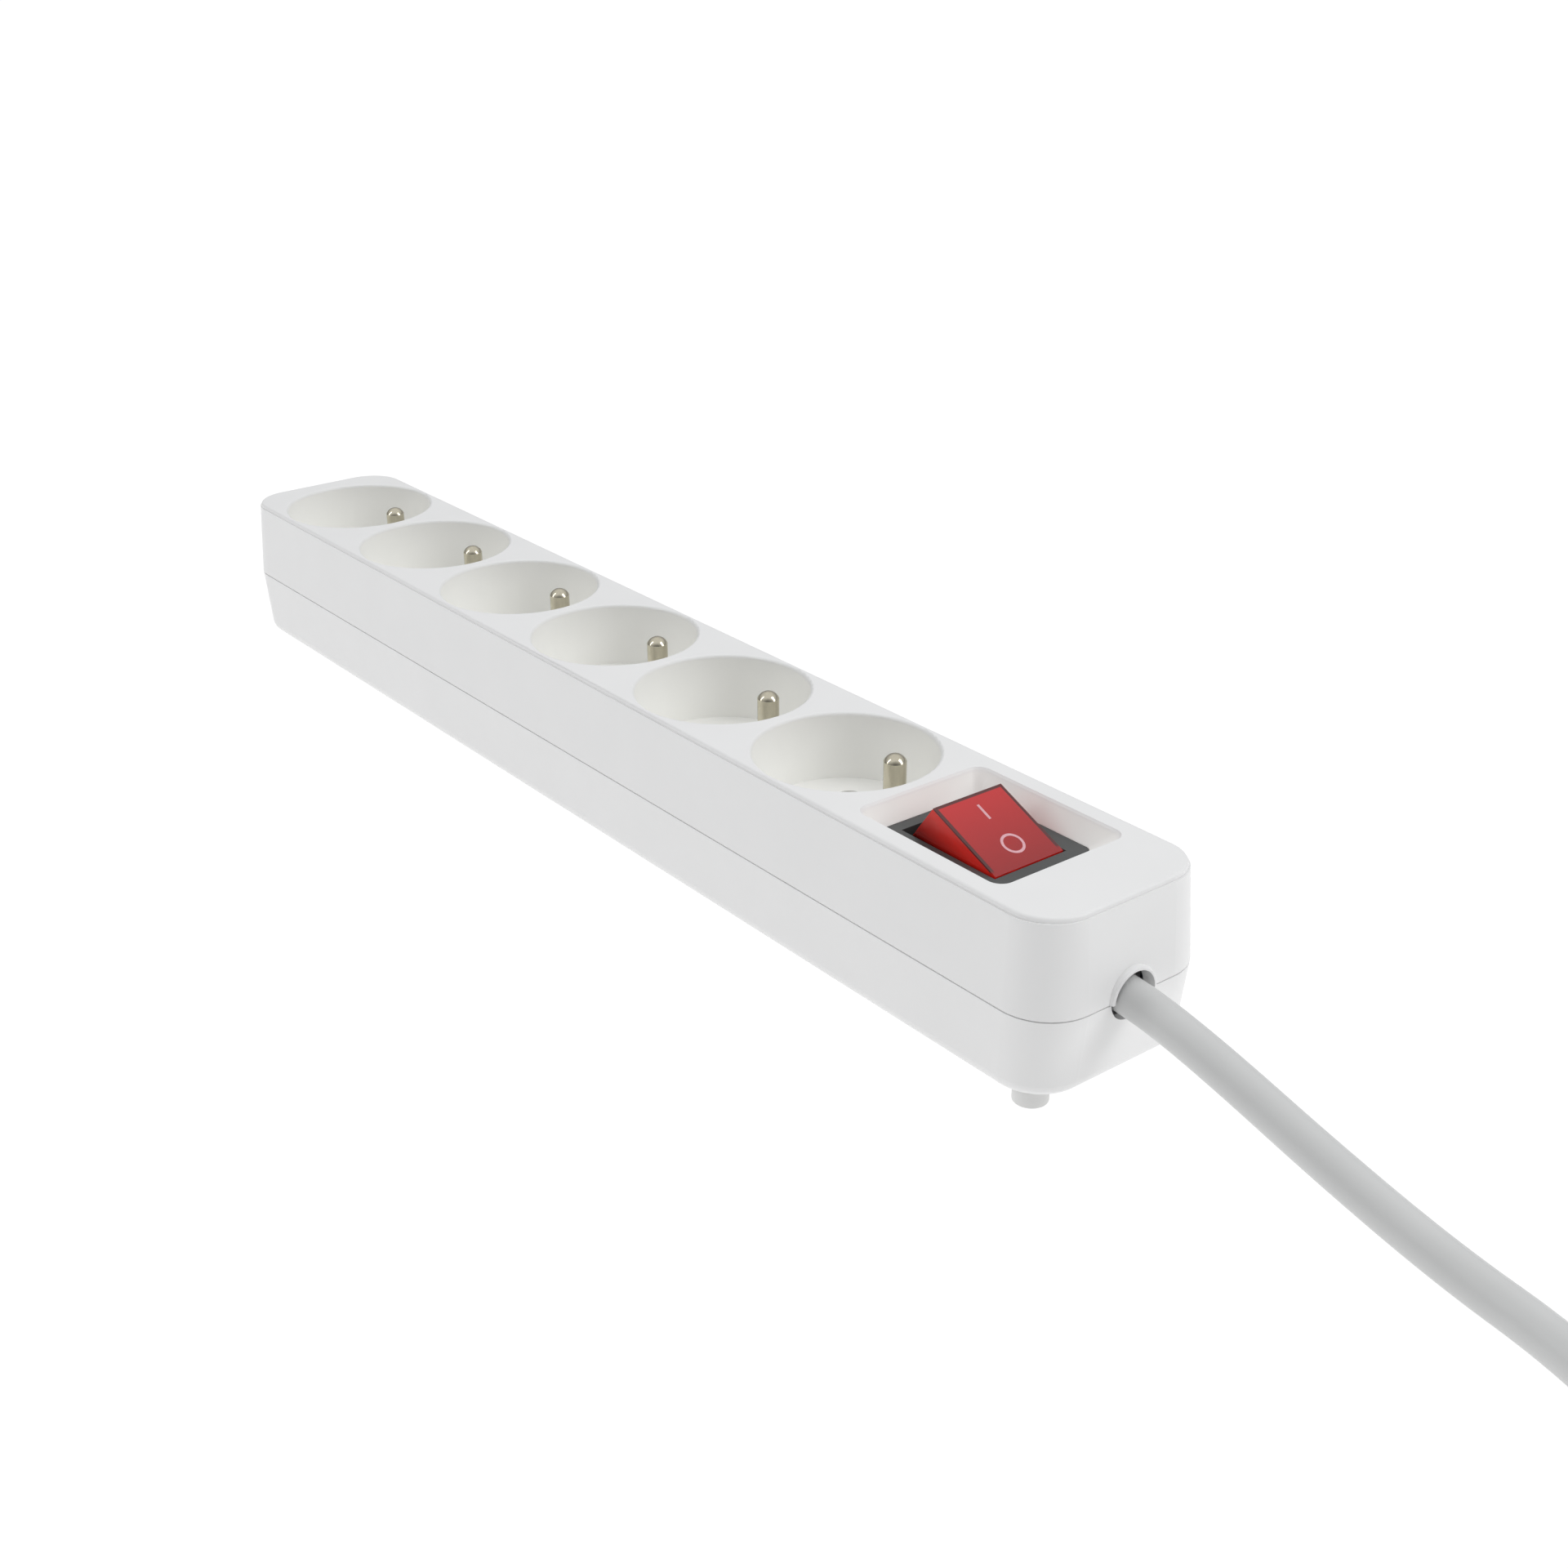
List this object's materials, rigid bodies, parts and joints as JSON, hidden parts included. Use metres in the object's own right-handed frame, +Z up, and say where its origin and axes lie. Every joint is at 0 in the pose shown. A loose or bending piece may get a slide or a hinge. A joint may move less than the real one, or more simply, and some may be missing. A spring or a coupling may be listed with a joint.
{
  "type": "power strip",
  "caption": "Slim mains power strip with a row of round earthed sockets, a lit rocker switch, sliding shutters, and a moulded lead folded beside it.",
  "frame": {"origin": "on the floor, under the middle of the housing's bounding box", "axes": "+X along the strip to the switch and the cable, +Z up"},
  "size_m": [0.7118, 0.0554, 0.0437],
  "materials": {
    "housing_white": "satin, very fine spark-eroded texture",
    "foot_white": "satin",
    "screw_steel": "zinc plated",
    "contact_brass": "stamped strip",
    "contact_copper": "silver-faced copper",
    "inner_white": "moulded",
    "switch_black": "satin",
    "rocker_red": "translucent, polished",
    "lamp_glass": "clear",
    "resistor_tan": "lacquered",
    "wire_brown": "PVC",
    "wire_blue": "PVC",
    "wire_green_yellow": "PVC",
    "cord_grey": "satin PVC",
    "tie_fabric": "woven hook and loop",
    "plug_white": "satin",
    "pin_nickel": "nickel plated brass",
    "spring_steel": "drawn wire"
  },
  "bodies": {
    "housing": {"upper_shell": "housing_white", "lower_shell": "housing_white", "feet": "foot_white", "case_screws": "screw_steel", "live_rail": "contact_brass", "neutral_rail": "contact_brass", "live_clips": "contact_brass", "neutral_clips": "contact_brass", "earth_rail": "contact_brass", "contact_carrier": "inner_white", "switch_body": "switch_black", "fulcrum_blades": "contact_brass", "contact_blades": "contact_brass", "neon_lamp": "lamp_glass", "lamp_resistor": "resistor_tan", "live_core": "wire_brown", "neutral_core": "wire_blue", "live_feed": "wire_brown", "neutral_feed": "wire_blue", "earth_core": "wire_green_yellow", "cord_clamp": "inner_white", "clamp_screws": "screw_steel", "power_cord": "cord_grey", "cord_hank": "cord_grey", "cord_tie": "tie_fabric", "cord_tail": "cord_grey", "plug_relief": "plug_white", "plug_body": "plug_white", "plug_pins": "pin_nickel", "plug_earth_socket": "pin_nickel", "earth_pin_1": "pin_nickel", "earth_pin_2": "pin_nickel", "earth_pin_3": "pin_nickel", "earth_pin_4": "pin_nickel", "earth_pin_5": "pin_nickel", "earth_pin_6": "pin_nickel", "shutter_spring_1": "spring_steel", "shutter_spring_2": "spring_steel", "shutter_spring_3": "spring_steel", "shutter_spring_4": "spring_steel", "shutter_spring_5": "spring_steel", "shutter_spring_6": "spring_steel"},
    "rocker": {"rocker": "rocker_red", "plungers": "inner_white", "plunger_springs": "spring_steel"},
    "seesaw_live": {"seesaw_live": "contact_copper"},
    "seesaw_neutral": {"seesaw_neutral": "contact_copper"},
    "shutter_1": {"shutter_1": "inner_white"},
    "shutter_2": {"shutter_2": "inner_white"},
    "shutter_3": {"shutter_3": "inner_white"},
    "shutter_4": {"shutter_4": "inner_white"},
    "shutter_5": {"shutter_5": "inner_white"},
    "shutter_6": {"shutter_6": "inner_white"}
  },
  "joints": [
    {"name": "rocker_tilt", "type": "hinge", "parent": "housing", "child": "rocker", "pos_m": [0.1191, 0, 0.0309], "axis": [0, -1, 0], "range_deg": [0, 46.8]},
    {"name": "seesaw_live_tilt", "type": "hinge", "parent": "housing", "child": "seesaw_live", "pos_m": [0.1191, 0.0052, 0.0202], "axis": [0, -1, 0], "range_deg": [-14.1, 0]},
    {"name": "seesaw_neutral_tilt", "type": "hinge", "parent": "housing", "child": "seesaw_neutral", "pos_m": [0.1191, -0.0052, 0.0202], "axis": [0, -1, 0], "range_deg": [-14.1, 0]},
    {"name": "shutter_slide_1", "type": "slide", "parent": "housing", "child": "shutter_1", "axis": [-0.7071, -0.7071, 0], "range_m": [0, 0.006], "stiffness_N_per_m": 120, "springref_m": -0.003, "deforming": ["shutter_spring_1"]},
    {"name": "shutter_slide_2", "type": "slide", "parent": "housing", "child": "shutter_2", "axis": [-0.7071, -0.7071, 0], "range_m": [0, 0.006], "stiffness_N_per_m": 120, "springref_m": -0.003, "deforming": ["shutter_spring_2"]},
    {"name": "shutter_slide_3", "type": "slide", "parent": "housing", "child": "shutter_3", "axis": [-0.7071, -0.7071, 0], "range_m": [0, 0.006], "stiffness_N_per_m": 120, "springref_m": -0.003, "deforming": ["shutter_spring_3"]},
    {"name": "shutter_slide_4", "type": "slide", "parent": "housing", "child": "shutter_4", "axis": [-0.7071, -0.7071, 0], "range_m": [0, 0.006], "stiffness_N_per_m": 120, "springref_m": -0.003, "deforming": ["shutter_spring_4"]},
    {"name": "shutter_slide_5", "type": "slide", "parent": "housing", "child": "shutter_5", "axis": [-0.7071, -0.7071, 0], "range_m": [0, 0.006], "stiffness_N_per_m": 120, "springref_m": -0.003, "deforming": ["shutter_spring_5"]},
    {"name": "shutter_slide_6", "type": "slide", "parent": "housing", "child": "shutter_6", "axis": [-0.7071, -0.7071, 0], "range_m": [0, 0.006], "stiffness_N_per_m": 120, "springref_m": -0.003, "deforming": ["shutter_spring_6"]}
  ],
  "couplings": [
    {"joint": "seesaw_live_tilt", "follows": "rocker_tilt", "ratio": -0.3},
    {"joint": "seesaw_neutral_tilt", "follows": "rocker_tilt", "ratio": -0.3}
  ]
}
